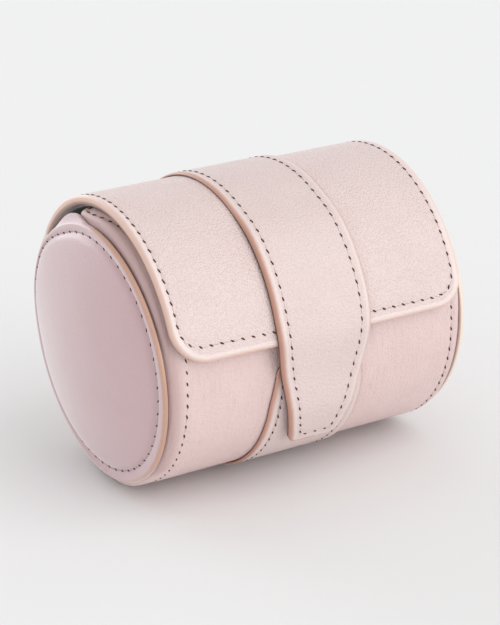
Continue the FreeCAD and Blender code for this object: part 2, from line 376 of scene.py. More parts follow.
def leather(
    name, tone, edge_tone, paint_width, fade=0.7 * mm,
    pebbles=1.0, creases=0.35, gloss=0.9, sheen=0.06, under_edge_shade=0.0,
):
    """Satin leather with fine pebbles, creases along the roll's turn, and a painted edge. Painted shade
    darkens the grain's valleys, the creases and the edge's underside where it meets the surface below;
    the pressed strip beside the edge is paler, partly from the pressing and partly as painted highlight."""
    material, tree, surface = new_material(name)
    spot = add_node(tree, "ShaderNodeTexCoord").outputs["Object"]
    grain_inputs = {"Vector": spot, "Pebbles per metre": pebbles_per_metre}
    grain = add_node(tree, "ShaderNodeGroup", grain_inputs, node_tree=grain_nodes).outputs
    edge_inputs = {"Vector": spot, "Paint width": paint_width, "Fade width": fade}
    edge_inputs["Strip width"] = pressed_strip
    edge = add_node(tree, "ShaderNodeGroup", edge_inputs, node_tree=edge_nodes).outputs
    plan = add_node(tree, "ShaderNodeUVMap", uv_map="plan").outputs[0]
    drawn = add_node(tree, "ShaderNodeMapping", {"Vector": plan, "Scale": crease_stretch}).outputs[0]
    crease_inputs = {"Vector": drawn, "Scale": 1.0, "Detail": 4.0, "Roughness": 0.6}
    crease = add_node(tree, "ShaderNodeTexNoise", crease_inputs).outputs["Fac"]
    deep = tinted(tone, blotch_and_shade_tint)
    blotched = math_of(tree, "MULTIPLY", between(tree, grain["Blotches"], *blotch_range), blotch_share)
    colour = mixed(tree, blotched, tone, deep)
    # Painted shade: the grain's valleys are darker
    colour = mixed(tree, math_of(tree, "MULTIPLY", grain["Valleys"], valley_shade_share * pebbles), colour, deep)
    # Painted shade: the creases are darker
    crease_shade = math_of(tree, "MULTIPLY", between(tree, crease, *crease_range), crease_shade_share * creases)
    colour = mixed(tree, crease_shade, colour, deep)
    # Partly painted highlight: the pressed strip beside the edge is mixed paler
    pressed = math_of(tree, "MULTIPLY", edge["Strip"], pressed_highlight_share)
    colour = mixed(tree, pressed, colour, tinted(tone, pressed_highlight_tint))
    # Painted shade: the lower part of a painted edge is coloured dark brown, by how far down the edge it
    # lies
    below = add_node(tree, "ShaderNodeAttribute", attribute_name="below").outputs["Fac"]
    painted_under_shade = math_of(tree, "MULTIPLY", between(tree, below, *under_shade_range), under_edge_shade)
    colour = mixed(tree, edge["Paint"], colour, mixed(tree, painted_under_shade, edge_tone, under_edge_shade_brown))
    tree.links.new(colour, surface.inputs["Base Color"])
    bare = math_of(tree, "SUBTRACT", 1.0, edge["Paint"])
    roughness = math_of(tree, "ADD", painted_roughness, math_of(tree, "MULTIPLY", bare, bare_gain))
    tree.links.new(roughness, surface.inputs["Roughness"])
    unpressed = math_of(tree, "SUBTRACT", 1.0, math_of(tree, "MULTIPLY", edge["Strip"], pressed_smooth))
    grained = math_of(tree, "MULTIPLY", math_of(tree, "MULTIPLY", bare, unpressed), pebbles)
    pebbled = math_of(tree, "MULTIPLY", grain["Height"], grained)
    height = math_of(tree, "ADD", pebbled, math_of(tree, "MULTIPLY", crease, crease_height * creases))
    bump = add_node(tree, "ShaderNodeBump", {"Height": height, "Strength": 1.0, "Distance": pebble_depth})
    tree.links.new(bump.outputs[0], surface.inputs["Normal"])
    surface.inputs["Specular IOR Level"].default_value = gloss
    surface.inputs["Sheen Weight"].default_value = sheen
    return material


# Painted shade partly darkens the undersides of the wrap's painted edges
wrap_leather = leather(
    "blush_leather_wrap", blush, flap_edge_tan,
    paint_width=0.2 * mm, fade=1.0 * mm, pebbles=0.85, under_edge_shade=0.5,
)
disc_plane = 49.5 * mm
disc_lean = 0.03
flap_left = 48.9 * mm
flap_right = 48.6 * mm
flap_corner_left = 11.5 * mm
flap_corner_right = 8.5 * mm
seam_left = 46.5 * mm
seam_right = 45.9 * mm
seam_end = 3.7 * mm
seam_corner = 7.6 * mm
flap_skew = 0.8 * mm
seam_skew = 1.2 * mm
unpainted = 5.0 * mm
paint_wide = 0.3 * mm
paint_thin = 0.15 * mm
seam_width = 0.7 * mm
wrap_seam_depth = 0.28 * mm
wrap_rounding = 1.2 * mm
pace_across = 1.1 * mm
pace_along = 1.0 * mm
free_of_disc = 3 * mm
against_disc_from = 16 * mm
skew_from = 10 * mm
skew_full = -46 * mm
skew_reach = 40 * mm
lower_edge_in = 0.5 * mm
lower_edge_out = 4 * mm
paint_fade = 10 * mm


def wrap_sides(way):
    """Half widths of the wrap: free of the discs on the flap, up against them below the fold."""
    height = follow(wrap_run, way)[0].z - roll_axis.z
    against_disc = disc_plane + disc_lean * height
    share = ease(wrap_fold + free_of_disc, wrap_fold + against_disc_from, way)
    return [side + (against_disc - side) * share for side in (flap_left, flap_right)]


def groove(distance, width, depth):
    """How deep a seam has pulled the leather in, at a distance from it."""
    return depth * math.exp(-((distance / width) ** 2))


def towards_corner(x, way):
    """0 over most of the wrap, and 1 at the flap's lower left corner."""
    return ease(skew_from, skew_full, x) * (1 - ease(0, skew_reach, way))


def wrap_lay(x, way, depth_in):
    """The flap's lower edge rises a little to its left corner, and the seam rises more."""
    corner_share = towards_corner(x, way)
    spot, out = follow(wrap_run, way + flap_skew * corner_share)
    seam = inside(x, way - seam_skew * corner_share, seam_left, seam_right, seam_end, seam_corner)
    dip = groove(seam, seam_width, wrap_seam_depth)
    return spot + Vector((x, 0, 0)) - out * dip, out


def wrap_paint(x, way, depth_in):
    """The paint is wide on the flap's lower edge, thin on its right side, and ends below the fold."""
    thin = paint_thin * ease(0, paint_fade, x)
    wide = paint_wide * (1 - ease(lower_edge_in, lower_edge_out, way))
    return depth_in + thin - wide + unpainted * ease(wrap_fold, wrap_fold + paint_fade, way)


wrap = cut_sheet(
    "wrap_sheet",
    sheet_columns(flap_left, pace_across),
    sheet_rows(wrap_length, flap_corner_left, pace_along),
    wrap_sides,
    lambda side: flap_corner_left if side < 0 else flap_corner_right,
    wrap_lay,
    lambda way: sheet_thick,
    wrap_rounding,
    wrap_paint,
)
wrap.data.materials.append(wrap_leather)
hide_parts("base_leather", "flap_leather", "base_board", "flap_board")


def bend_at_back(piece):
    """Bakes a piece's place into its mesh; the sheet is not turned at the back fold here."""
    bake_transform(piece)


bend_at_back(wrap)

# Front panel: the same sheet of leather and board carried on from the butt seam under the roll up
# the front, to a free edge that the flap closes over. It folds out about a line under the front.
front_edge_angle = 107.0
front_corner = 6.0 * mm
front_run = [arc(roll_axis, wall_radius, front_edge_angle, bottom_seam_angle - 360)]
front_length = run_length(front_run)
front_middle = 49.75 * mm
front_flare = 0.027
front_clearance = 0.15 * mm
front_padding = 1.4 * mm
front_nose = 4.0 * mm
front_tip = 0.6 * mm
front_seam_flare = 6.0 * mm
front_roll_off = 1.1 * mm
front_roll_width = 7.5 * mm
front_seam_depth = 0.3 * mm
front_rounding = 1.4 * mm
padding_full = 10 * mm
padding_gone = 60 * mm
flare_full = 6 * mm
flare_gone = 40 * mm
roll_fades = 25 * mm
roll_gone = 5 * mm
# Painted shade on the front panel's left end: how far it reaches across, and where it fades out under the
# roll
shade_side = 10 * mm
shade_fades = 30 * mm
shade_gone = 6 * mm
# Painted shade: darker mauve for the panel's left end
front_end_shade = (0.5, 0.345, 0.335, 1)
# Painted shade: the front panel takes a darker copy of the blush leather
front_shaded_blush = (0.73, 0.565, 0.548, 1)
front_seam_left = 43.9 * mm
front_seam_right = 46.8 * mm
front_leather = leather(
    "blush_leather_front", front_shaded_blush, front_end_shade,
    paint_width=1.2 * mm, fade=5.0 * mm, pebbles=0.5, creases=1.8, gloss=0.6,
)


def front_sides(way):
    """Half widths of the panel, which is wider at the top because the discs lean out."""
    height = follow(front_run, way)[0].z - roll_axis.z
    return [front_middle + front_flare * height] * 2


def flap_inside(angle):
    """How far from the roll's axis the flap's lining lies."""
    over_shoulder = angle > shoulder_angle
    centre = shoulder_centre if over_shoulder else flap_centre
    radius = shoulder_radius if over_shoulder else flap_radius
    return (centre - roll_axis).dot(ray(angle)) + radius - sheet_thick - lining_thick


def front_padded(way):
    """Padding between the leather and the board fills out the panel's upper end."""
    return sheet_thick + front_padding * (1 - ease(padding_full, padding_gone, way))


def front_thick(way):
    """The outer face rounds down to a thin lip at the free edge."""
    near = max(0, 1 - way / front_nose)
    return max(front_tip, front_padded(way) * math.sqrt(1 - near**2))


def seam_flare(x, way):
    """How far the left seam runs out to the panel's end, high up under the flap."""
    return front_seam_flare * (1 - ease(flare_full, flare_gone, way)) if x < 0 else 0


def front_lay(x, way, depth_in):
    """The panel is padded out under the flap, nearly to its lining, and rolls off to its left end."""
    spot, out = follow(front_run, way)
    seam = inside(x + seam_flare(x, way), way, front_seam_left, front_seam_right, seam_end, front_corner)
    dip = groove(seam, seam_width, front_seam_depth)
    angle = front_edge_angle - math.degrees(way / wall_radius)
    swell = max(0, flap_inside(angle) - wall_radius - front_clearance) if angle > 0 else 0
    swell -= front_padded(way) - front_thick(way)
    near_end = max(0, 1 - (front_sides(way)[0] + x) / front_roll_width)
    roll_off = front_roll_off * near_end**2
    roll_off *= 1 - ease(front_length - roll_fades, front_length - roll_gone, way)
    return spot + Vector((x, 0, 0)) + out * (swell - dip - roll_off), out


def front_paint(x, way, depth_in):
    """Painted shade: the panel's left end is coloured darker, as it lies in shade, down to where it turns
    under the roll.
    """
    turned_under = ease(front_length - shade_fades, front_length - shade_gone, way)
    return depth_in + 2 * unpainted * max(ease(-shade_side, shade_side, x), turned_under)


front = cut_sheet(
    "front_sheet",
    sheet_columns(front_middle, pace_across),
    sheet_rows(front_length, front_corner, pace_along),
    front_sides,
    lambda side: front_corner,
    front_lay,
    front_thick,
    front_rounding,
    front_paint,
    under_share=0.2,
)
front.data.materials.append(front_leather)
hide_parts("front_leather", "front_board")


def bend_at_front(piece):
    """Bakes a piece's place into its mesh; the sheet is not turned at the fold under the front here."""
    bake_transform(piece)


bend_at_front(front)

# Lining: grey suede glued inside the whole sheet, cut back a little from its edges so that
# only the leather's painted rim shows from outside.
suede_dark = (0.24, 0.24, 0.25, 1)
suede_light = (0.36, 0.36, 0.38, 1)
lining_setback = 1.3 * mm
lining_rounding = 0.4 * mm
lining_pace_across = 2.2 * mm
lining_pace_along = 1.6 * mm
fibres_per_metre = 2600.0
patches_per_metre = 60.0
nap_range = (0.1, 0.42)
nap_depth = 0.2 * mm


def nap_group():
    """Brushed suede: a short nap that lies light and dark in patches."""
    group, entry, leave = new_group("suede_nap", [], ["Shade", "Height"])
    fibre = noise_of(group, entry["Vector"], fibres_per_metre, 3.0)
    patch = noise_of(group, entry["Vector"], patches_per_metre, 3.0)
    shade = math_of(group, "MULTIPLY", fibre, patch)
    group.links.new(between(group, shade, *nap_range), leave["Shade"])
    group.links.new(fibre, leave["Height"])
    return group


nap_nodes = nap_group()


def suede(name, dark, light):
    """Matt suede with a brushed nap."""
    material, tree, surface = new_material(name)
    spot = add_node(tree, "ShaderNodeTexCoord").outputs["Object"]
    nap = add_node(tree, "ShaderNodeGroup", {"Vector": spot}, node_tree=nap_nodes).outputs
    tree.links.new(mixed(tree, nap["Shade"], dark, light), surface.inputs["Base Color"])
    bump_inputs = {"Height": nap["Height"], "Strength": 0.6, "Distance": nap_depth}
    bump = add_node(tree, "ShaderNodeBump", bump_inputs)
    tree.links.new(bump.outputs[0], surface.inputs["Normal"])
    surface.inputs["Roughness"].default_value = 0.95
    surface.inputs["Specular IOR Level"].default_value = 0.15
    surface.inputs["Sheen Weight"].default_value = 0.35
    surface.inputs["Sheen Roughness"].default_value = 0.5
    return material


grey_suede = suede("grey_suede_lining", suede_dark, suede_light)


def line_sheet(name, outer_lay, thick, length, sides, corner, bend, *nodes):
    """The suede on the inner face of a sheet."""

    def lay(x, way, depth_in):
        spot, out = outer_lay(x, way + lining_setback, depth_in)
        return spot - out * thick(way + lining_setback), out

    def set_back(way):
        return [side - lining_setback for side in sides(way + lining_setback)]

    lining = cut_sheet(
        name,
        sheet_columns(set_back(0)[0], lining_pace_across),
        sheet_rows(length - lining_setback, corner, lining_pace_along),
        set_back,
        lambda side: corner,
        lay,
        lambda way: lining_thick,
        lining_rounding,
    )
    lining.data.materials.append(grey_suede)
    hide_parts(*nodes)
    flat = (2 * set_back(length / 2)[0], length - lining_setback)
    bend(lining)


line_sheet(
    "wrap_lining_suede", wrap_lay, lambda way: sheet_thick, wrap_length, wrap_sides, flap_corner_left,
    bend_at_back, "base_lining", "flap_lining",
)
line_sheet(
    "front_lining_suede", front_lay, front_thick, front_length, front_sides, front_corner,
    bend_at_front, "front_lining",
)

# Strap: a band of the same leather sewn round the middle. It starts high on the front as the
# keeper, runs under the roll and up the back, over the flap, and ends in a free tongue of two
# layers, tapered and rounded at its tip, with a magnet between them.
strap_half = 15.9 * mm
strap_centre = -0.8 * mm
strap_layer = 1.0 * mm
strap_split_angle = 130.0
tongue_fold_angle = 63.0
tongue_tip_angle = -37.5
tongue_gap = 0.12 * mm
tongue_layers = 2.0 * mm
flat_angle = -5.0
flat_reach = 17.0
flat_depth = 1.7 * mm
taper_angle = 22.0
taper_bend_angle = -5.0
taper_bend_half = 13.6 * mm
tip_half = 7.8 * mm
tip_corner = 2.4 * mm
strap_seam_inset = 3.45 * mm
strap_seam = strap_half - strap_seam_inset
strap_seam_width = 0.55 * mm
strap_seam_depth = 0.16 * mm
tongue_seam_depth = 0.18 * mm
strap_pace = 0.9 * mm
strap_rounding = 0.5 * mm
tongue_rounding = 1.0 * mm
square_corner = 0.01 * mm
right_edge_bare = 0.6 * mm
right_edge_from = 4 * mm
keeper_top_angle = 4.0
keeper_draw_in = 1.6 * mm
keeper_draw_length = 14 * mm
keeper_corner = 3.0 * mm
layers_join_before = 12 * mm
layers_join_after = 4 * mm
gap_closes_before = 8 * mm
gap_closes_after = 1 * mm
gap_opens_angles = (5, 25)
tip_swing = 14 * mm
floor_height = 0.0
# Painted shade: the strap takes a darker copy of the blush leather
strap_shaded_blush = (0.706, 0.573, 0.552, 1)
strap_edge_brown = (0.5, 0.255, 0.185, 1)
# Painted shade: the strap's painted edges are dark brown on their undersides
strap_leather = leather(
    "blush_leather_strap", strap_shaded_blush, strap_edge_brown,
    paint_width=0.35 * mm, fade=1.6 * mm, pebbles=0.6, under_edge_shade=1.0,
)


def lay_strap(run, lift):
    """How a band lies on a run: lift() gives the height of its outer face above the run."""

    def lay(x, way, depth_in):
        spot, out = follow(run, way)
        dip = groove(strap_seam - abs(x), strap_seam_width, strap_seam_depth)
        spot = spot + Vector((x + strap_centre, 0, 0)) + out * (lift(way) - dip)
        spot.z = max(spot.z, floor_height)
        return spot, out

    return lay


def strap_paint(x, way, depth_in):
    """The paint is thinner on the right edge."""
    return depth_in + right_edge_bare * ease(0, right_edge_from, x)


def cut_strap(name, run, lay, sides, corner, thick, rounding, *nodes, flat_start=False):
    """A band of strap leather, in place of its CAD nodes."""
    band = cut_sheet(
        name,
        sheet_columns(strap_half, strap_pace),
        sheet_rows(run_length(run), corner, strap_pace),
        sides,
        lambda side: corner,
        lay,
        thick,
        rounding,
        strap_paint,
        flat_start,
        under_share=0.25,
    )
    band.data.materials.append(strap_leather)
    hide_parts(*nodes)
    return band


keeper_run = [arc(roll_axis, wall_radius, keeper_top_angle, bottom_seam_angle - 360)]
keeper_lay = lay_strap(keeper_run, lambda way: strap_layer)


def keeper_sides(way):
    """The keeper narrows a little to its upper end, which the tongue hides."""
    return [strap_half - keeper_draw_in * (1 - ease(0, keeper_draw_length, way))] * 2


keeper = cut_strap(
    "keeper_band", keeper_run, keeper_lay, keeper_sides, keeper_corner,
    lambda way: strap_layer, strap_rounding, "keeper_strap",
)
bend_at_front(keeper)

back_run = [
    arc(shoulder_centre, shoulder_radius, strap_split_angle, take_off),
    wrap_run[2],
    wrap_run[3],
]
back_lay = lay_strap(back_run, lambda way: strap_layer)
back_strap = cut_strap(
    "back_band", back_run, back_lay, lambda way: (strap_half, strap_half), square_corner,
    lambda way: strap_layer, strap_rounding, "base_strap", "flap_strap", flat_start=True,
)
bend_at_back(back_strap)

tongue_run = [
    arc(flap_centre, flap_radius, tongue_tip_angle, shoulder_angle),
    arc(shoulder_centre, shoulder_radius, shoulder_angle, strap_split_angle),
]
tongue_length = run_length(tongue_run)
fold_way = flap_radius * math.radians(tongue_fold_angle - tongue_tip_angle)


def tongue_angle(way):
    """The angle round the roll at a distance from the tongue's tip."""
    return tongue_tip_angle + math.degrees(way / flap_radius)


def tongue_half(way):
    """The tongue's half width: full at the fold, drawn in below the flap, then a straight taper."""
    angle = tongue_angle(way)
    if angle > taper_angle:
        return strap_half
    if angle > taper_bend_angle:
        share = (taper_angle - angle) / (taper_angle - taper_bend_angle)
        return strap_half - (strap_half - taper_bend_half) * share**2
    share = (taper_bend_angle - angle) / (taper_bend_angle - tongue_tip_angle)
    return taper_bend_half + (tip_half - taper_bend_half) * share


def tongue_thick(way):
    """Two layers on the free tongue, and one where it is sewn to the flap."""
    sewn = ease(fold_way - layers_join_before, fold_way + layers_join_after, way)
    return tongue_layers + (strap_layer - tongue_layers) * sewn


def tongue_lift(way):
    """The outer face's height over the flap: clear of it on the tongue, and flat from the flap's
    edge down to the magnet."""
    sewn = ease(fold_way - gap_closes_before, fold_way + gap_closes_after, way)
    gap = tongue_gap * (1 - sewn) * ease(*gap_opens_angles, tongue_angle(way))
    reach = min(1, abs(tongue_angle(way) - flat_angle) / flat_reach)
    return gap + tongue_thick(way) - flat_depth * (1 - reach**2) ** 2


def tongue_lay(x, way, depth_in):
    """The tongue's tip swings back to the middle of the roll."""
    spot, out = follow(tongue_run, way)
    dip = groove(depth_in - strap_seam_inset, strap_seam_width, tongue_seam_depth)
    centre = strap_centre * ease(0, tip_swing, way)
    return spot + Vector((x + centre, 0, 0)) + out * (tongue_lift(way) - dip), out


tongue = cut_strap(
    "tongue_band", tongue_run, tongue_lay, lambda way: [tongue_half(way)] * 2, tip_corner,
    tongue_thick, tongue_rounding, "tongue_face", "tongue_backing",
)


def bend_at_tongue(piece):
    """Bakes a piece's place into its mesh; nothing bends at the line where the tongue is no longer sewn to
    the flap.
    """
    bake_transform(piece)


bend_at_tongue(tongue)

# Seams: waxed burgundy thread, one slanted stitch after another, pulled down into the leather all
# round the sheet's edges and along both sides of the strap.
stitch_pitch = 3.4 * mm
stitch_length = 1.7 * mm
stitch_width = 0.6 * mm
stitch_slant_along = math.radians(-28)
stitch_slant_round = math.radians(17)
# Width of the thin dark strand that stands in for the shade in a seam's groove
groove_shade_width = 0.08 * mm
ring_pitch = 4.1 * mm
ring_size = 0.85
probe_share = 0.02
uneven_length_share = 0.25
uneven_slant_share = 0.4
groove_shade_share = 0.75
corner_points = 12
flare_points = 60
keeper_seam_start = 2 * mm
tongue_seam_pace = 1 * mm
thread_dark = (0.045, 0.017, 0.012, 1)
thread_light = (0.12, 0.05, 0.038, 1)
twists_per_metre = 4000.0
twist_range = (0.35, 0.7)


def thread_material():
    """Twisted waxed thread."""
    material, tree, surface = new_material("burgundy_thread")
    spot = add_node(tree, "ShaderNodeTexCoord").outputs["Object"]
    twist = between(tree, noise_of(tree, spot, twists_per_metre, 2.0), *twist_range)
    tone = mixed(tree, twist, thread_dark, thread_light)
    tree.links.new(tone, surface.inputs["Base Color"])
    surface.inputs["Roughness"].default_value = 0.7
    surface.inputs["Specular IOR Level"].default_value = 0.25
    return material


burgundy_thread = thread_material()


def pace_out(path, pitch):
    """Spots along a flat path at an even pitch, with the way on to the next one."""
    legs = [(a, b) for a, b in zip(path, path[1:]) if (b - a).length > 0]
    total = sum((b - a).length for a, b in legs)
    pitch = total / round(total / pitch)
    spots = []
    due = pitch / 2
    for a, b in legs:
        leg = (b - a).length
        while due <= leg:
            spots.append((a.lerp(b, due / leg), (b - a) / leg * pitch))
            due += pitch
        due -= leg
    return spots


def round_path(corners, radius):
    """A flat path through corner points, with each inner corner rounded."""
    path = [corners[0]]
    for before, corner, after in zip(corners, corners[1:], corners[2:]):
        start = corner + (before - corner).normalized() * radius
        end = corner + (after - corner).normalized() * radius
        for i in range(corner_points + 1):
            turn = i / corner_points
            path.append(start.lerp(corner, turn).lerp(corner.lerp(end, turn), turn))
    return path + [corners[-1]]


def add_stitch(bm, middle, along, out, length, width, slant):
    """One slanted stitch, lying on the leather."""
    aim = along * math.cos(slant) + out.cross(along) * math.sin(slant)
    half_sizes = (aim * length / 2, out.cross(aim) * width / 2, out * width / 2)
    turned = Matrix(half_sizes).transposed().to_4x4()
    turned.translation = middle
    bmesh.ops.create_uvsphere(bm, u_segments=6, v_segments=4, radius=1, matrix=turned)


def sew(name, seams, bend, pitch=stitch_pitch, size=1.0):
    """Stitches along seams, each a sheet's lay and a flat path on it. A stitch leans over its seam,
    and a thin dark strand of thread between it and the next one stands in for the shade in the seam's
    groove."""
    bm = bmesh.new()
    for lay, path in seams:
        for spot, pace in pace_out(path, pitch):
            middle, out = lay(spot.x, spot.y, strap_seam_inset)
            probe = spot + pace * probe_share
            along = (lay(probe.x, probe.y, strap_seam_inset)[0] - middle).normalized()
            middle.z = max(middle.z, stitch_width / 2)
            uneven = noise.noise(middle / stitch_length)
            slant = stitch_slant_along if abs(pace.x) > abs(pace.y) else stitch_slant_round
            slant *= 1 + uneven_slant_share * uneven
            length = stitch_length * size * (1 + uneven_length_share * uneven)
            add_stitch(bm, middle, along, out, length, stitch_width * size, slant)
            # Painted shade: a thin dark strand along the seam's groove between two stitches
            halfway = spot + pace / 2
            between_two, out = lay(halfway.x, halfway.y, strap_seam_inset)
            between_two.z = max(between_two.z, groove_shade_width / 2)
            add_stitch(bm, between_two, along, out, groove_shade_share * pitch, groove_shade_width, 0)
    stitches = finished(name, bm)
    stitches.data.materials.append(burgundy_thread)
    bend(stitches)


def u_seam(left, right, start, corner, far):
    """A seam round the near end of a sheet and along both its sides."""
    turns = ((-left, far), (-left, start), (right, start), (right, far))
    return round_path([Vector(turn) for turn in turns], corner)


wrap_seam = u_seam(seam_left, seam_right, seam_end, seam_corner, wrap_length)
for spot in wrap_seam:
    spot.y += seam_skew * towards_corner(spot.x, spot.y)
sew("wrap_stitches", [(wrap_lay, wrap_seam)], bend_at_back)
front_seam = u_seam(front_seam_left, front_seam_right, seam_end, front_corner, front_length)
left_end, left_corner = front_seam[:2]
front_seam[:1] = [left_corner.lerp(left_end, 1 - i / flare_points) for i in range(flare_points)]
for spot in front_seam:
    spot.x -= seam_flare(spot.x, spot.y)
sew("front_stitches", [(front_lay, front_seam)], bend_at_front)


def side_seams(lay, start, length):
    """The two seams of a band, one along each side."""
    return [(lay, [Vector((x, start)), Vector((x, length))]) for x in (-strap_seam, strap_seam)]


sew("keeper_stitches", side_seams(keeper_lay, keeper_seam_start, run_length(keeper_run)), bend_at_front)
sew("back_stitches", side_seams(back_lay, 0, run_length(back_run)), bend_at_back)
tongue_ways = steps(strap_seam_inset, tongue_length, tongue_seam_pace)
tongue_side = [Vector((tongue_half(way) - strap_seam_inset, way)) for way in tongue_ways]
tongue_path = [Vector((-spot.x, spot.y)) for spot in reversed(tongue_side)] + tongue_side
sew("tongue_stitches", [(tongue_lay, tongue_path)], bend_at_tongue)

# End discs: a round of board padded with foam under a leather cover, crowned like a small cushion.
# A ring of stitches holds the cover down just inside a painted tan edge, which on the right disc is
# coloured pale cream as a painted highlight, and suede faces the inside. Each is glued to the wrap's end
# below the fold.
disc_centre_forward = 0.7 * mm
disc_centre_up = 0.95 * mm
disc_rim_radius = 38.3 * mm
disc_ring_radius = 35.4 * mm
disc_rim_thick = 1.8 * mm
disc_back = 49.95 * mm
disc_crown = 5.0 * mm
disc_shoulder = 0.4 * mm
disc_bullnose = 0.9 * mm
disc_bulge = 1.2 * mm
disc_bulge_angle = -25.0
disc_lip = 2.5 * mm
disc_lobe = 2.4 * mm
disc_rim_fall = 0.4 * mm
# Painted shade: the discs take a darker, cooler copy of the blush leather, as they face away from the
# light
disc_shaded_tone = (0.543, 0.362, 0.378, 1)
disc_edge_tan = (0.52, 0.285, 0.19, 1)
# Painted highlight: the right disc's edge is a pale cream copy of the tan paint
disc_edge_lit_cream = (0.8, 0.66, 0.56, 1)
disc_paint_width = 0.15 * mm
disc_shoulder_inset = 0.3 * mm
disc_shoulder_power = 30
disc_seam_width = 0.8 * mm
disc_seam_depth = 0.5 * mm
disc_back_layer = 1.01 * disc_bullnose
lip_rises = (93, 104)
lip_falls = (105, 130)
lobe_rises = (112, 148)
lobe_falls = (158, 198)
lobe_power = 3
lobe_rim_share = 0.75
disc_segments = 180
disc_foot = 0.2 * mm
foot_edge = 0.1 * disc_bullnose
foot_setback = 0.3 * disc_bullnose
disc_edge_bare = 1.4 * mm
bare_range = (-0.1, 0.15)
rim_fall_range = (0, 0.6)
crown_end = 26 * mm
crown_pace = 2 * mm
shoulder_end = 34.6 * mm
shoulder_pace = 0.7 * mm
rim_pace = 0.2 * mm
facing_radius = 35.6 * mm
facing_thick = 0.4 * mm
facing_edge = 0.2 * mm


def cover_leather(name, edge_tone, under_edge_shade):
    """Polished leather of a disc's cover."""
    material = leather(
        name, disc_shaded_tone, edge_tone, disc_paint_width,
        pebbles=0.2, creases=0, sheen=1.0, under_edge_shade=under_edge_shade,
    )
    surface = material.node_tree.nodes["Principled BSDF"]
    surface.inputs["Sheen Roughness"].default_value = 0.35
    surface.inputs["Coat Weight"].default_value = 0.45
    surface.inputs["Coat Roughness"].default_value = 0.3
    return material


def disc_height(radius):
    """The cover's height over the disc's back, out from its middle: crown, seam and flat rim."""
    share = min(1, radius / (disc_ring_radius - disc_shoulder_inset))
    crown = disc_crown * (1 - share**2) + disc_shoulder * (1 - share**disc_shoulder_power)
    dip = groove(radius - disc_ring_radius, disc_seam_width, disc_seam_depth)
    near = max(0, radius - (disc_rim_radius - disc_bullnose))
    drop = disc_bullnose - math.sqrt(max(0, disc_bullnose**2 - near**2))
    return disc_rim_thick + crown - dip - drop


def rim_rise(angle, out):
    """How far the rim stands out: it bulges at the front, and past the front panel's end the back
    layer of its edge stands up."""
    bulge = disc_bulge * max(0, math.cos(math.radians(angle - disc_bulge_angle))) ** 2
    if out >= disc_back_layer:
        return bulge
    return bulge + disc_lip * ease(*lip_rises, angle) * (1 - ease(*lip_falls, angle))


def ring_lobe(angle):
    """How far the padding pushes the ring of stitches out, high at the back."""
    return disc_lobe * ease(*lobe_rises, angle) * (1 - ease(*lobe_falls, angle))


def spin_round(bm, centre, axis, count):
    """Turns a profile all the way round an axis and closes it."""
    profile = bm.verts[:] + bm.edges[:]
    bmesh.ops.spin(bm, geom=profile, cent=centre, axis=axis, angle=math.tau, steps=count, use_merge=True)
    bmesh.ops.remove_doubles(bm, verts=bm.verts, dist=merge_gap)


def spin_disc(name, side, profile):
    """A disc from a profile of radius and height points, spun about the roll's length and leaned."""
    bm = bmesh.new()
    rim = bm.verts.layers.float.new("rim")
    below = bm.verts.layers.float.new("below")
    points = [bm.verts.new((0, radius, height)) for radius, height in profile]
    for a, b in zip(points, points[1:]):
        bm.edges.new((a, b))
    spin_round(bm, (0, 0, 0), (0, 0, 1), disc_segments)
    for point in bm.verts:
        forward, up, out = point.co
        radius = math.hypot(forward, up)
        backward = -forward / max(radius, mm)
        bare = ease(*bare_range, backward) if side < 0 else 0
        # Painted shade: the foot of the rim, where it meets the front panel, takes the dark under-edge
        # colour
        point[below] = 1 if out < disc_foot else 0
        point[rim] = disc_rim_radius - radius + disc_edge_bare * bare
        past_ring = max(0, (radius - disc_ring_radius) / (disc_rim_radius - disc_ring_radius))
        angle = math.degrees(math.atan2(up, forward)) % 360
        share = min(1, radius / disc_ring_radius)
        pushed = ring_lobe(angle) * (share**lobe_power - lobe_rim_share * past_ring)
        rise = 1 + (rim_rise(angle, out) * past_ring + pushed) / max(radius, mm)
        if out > 0:
            out -= min(out, disc_rim_fall * past_ring * ease(*rim_fall_range, backward))
        spot = Vector((0, -forward * rise - disc_centre_forward, up * rise + disc_centre_up))
        spot.x = side * (disc_back + out + disc_lean * spot.z)
        point.co = spot + roll_axis
    bm.normal_update()
    bmesh.ops.recalc_face_normals(bm, faces=bm.faces)
    return finished(name, bm)


disc_radii = steps(0, crown_end, crown_pace)
disc_radii += steps(crown_end, shoulder_end, shoulder_pace)[1:]
disc_radii += steps(shoulder_end, disc_rim_radius, rim_pace)[1:]
disc_profile = [(radius, disc_height(radius)) for radius in disc_radii]
disc_profile += [
    (disc_rim_radius - foot_edge, disc_foot / 2),
    (disc_rim_radius - foot_setback, 0),
    (0, 0),
]
facing_profile = [
    (0, -facing_thick),
    (facing_radius - facing_edge, -facing_thick),
    (facing_radius, facing_edge - facing_thick),
    (facing_radius, 0),
    (0, 0),
]


def ring_lay(side):
    """The spot on a disc's ring of stitches at a distance along it, and the way out there."""

    def lay(x, way, depth_in):
        angle = math.degrees(x / disc_ring_radius)
        spot = ray(angle) * (disc_ring_radius + ring_lobe(angle))
        spot += Vector((0, -disc_centre_forward, disc_centre_up))
        spot.x = side * (disc_back + disc_height(disc_ring_radius) + disc_lean * spot.z)
        return roll_axis + spot, Vector((side, 0, -disc_lean)).normalized()

    return lay


ring_path = [Vector((0, 0)), Vector((math.tau * disc_ring_radius, 0))]
